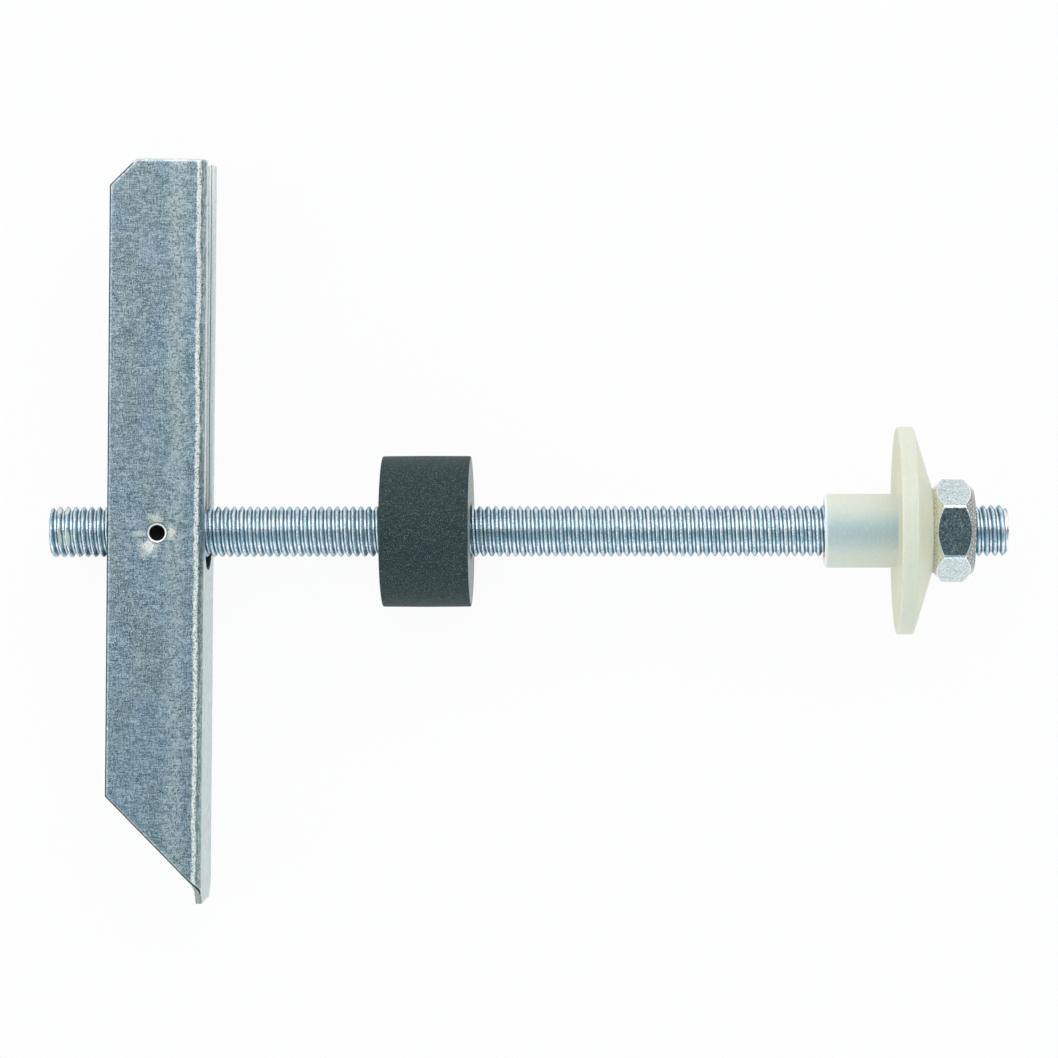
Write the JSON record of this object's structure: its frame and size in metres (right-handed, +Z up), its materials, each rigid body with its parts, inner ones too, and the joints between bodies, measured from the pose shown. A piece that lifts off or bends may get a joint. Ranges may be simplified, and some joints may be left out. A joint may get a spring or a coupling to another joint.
{
  "type": "gravity toggle wall anchor",
  "caption": "Hollow wall anchor: a threaded rod with a folding channel toggle on a trunnion nut, a rubber sleeve, a collar washer and a hex nut.",
  "frame": {"origin": "the middle of the part's box in X and Y, at the height of the surface that it lies on", "axes": "+X runs along the rod from the toggle to the nut, +Y along the toggle towards its slotted end, and +Z up"},
  "size_m": [0.18, 0.1396, 0.039],
  "materials": {
    "zinc_plated_steel": "bright blue-white zinc plate",
    "galvanised_sheet": "mottled grey galvanised sheet with fine scratches",
    "black_rubber": "matt with a fine pale bloom",
    "cream_nylon": "natural, slightly translucent"
  },
  "bodies": {
    "rod": {"threaded_rod": "zinc_plated_steel"},
    "toggle_nut": {"trunnion_nut": "zinc_plated_steel"},
    "toggle": {"toggle_channel": "galvanised_sheet"},
    "sleeve": {"rubber_sleeve": "black_rubber"},
    "washer": {"collar_washer": "cream_nylon"},
    "nut": {"hex_nut": "zinc_plated_steel"}
  },
  "joints": [
    {"name": "toggle_turn", "type": "hinge", "parent": "rod", "child": "toggle_nut", "pos_m": [-0.0689, 0, 0.0195], "axis": [1, 0, 0], "continuous": true},
    {"name": "toggle_pivot", "type": "hinge", "parent": "toggle_nut", "child": "toggle", "pos_m": [-0.0689, 0, 0.0195], "axis": [0, 0, -1], "range_deg": [-9, 89.3]},
    {"name": "sleeve_slide", "type": "slide", "parent": "rod", "child": "sleeve", "axis": [1, 0, 0], "range_m": [-0.0038, 0.0375]},
    {"name": "washer_slide", "type": "slide", "parent": "rod", "child": "washer", "axis": [-1, 0, 0], "range_m": [-0.0061, 0.0271]},
    {"name": "nut_turn", "type": "hinge", "parent": "washer", "child": "nut", "pos_m": [0.0757, 0, 0.0195], "axis": [-1, 0, 0], "range_deg": [-1440, 6480]}
  ],
  "couplings": [
    {"joint": "sleeve_slide", "follows": "toggle_pivot", "m_per_rad": 0.024},
    {"joint": "washer_slide", "follows": "nut_turn", "m_per_rad": 0.00023873}
  ]
}
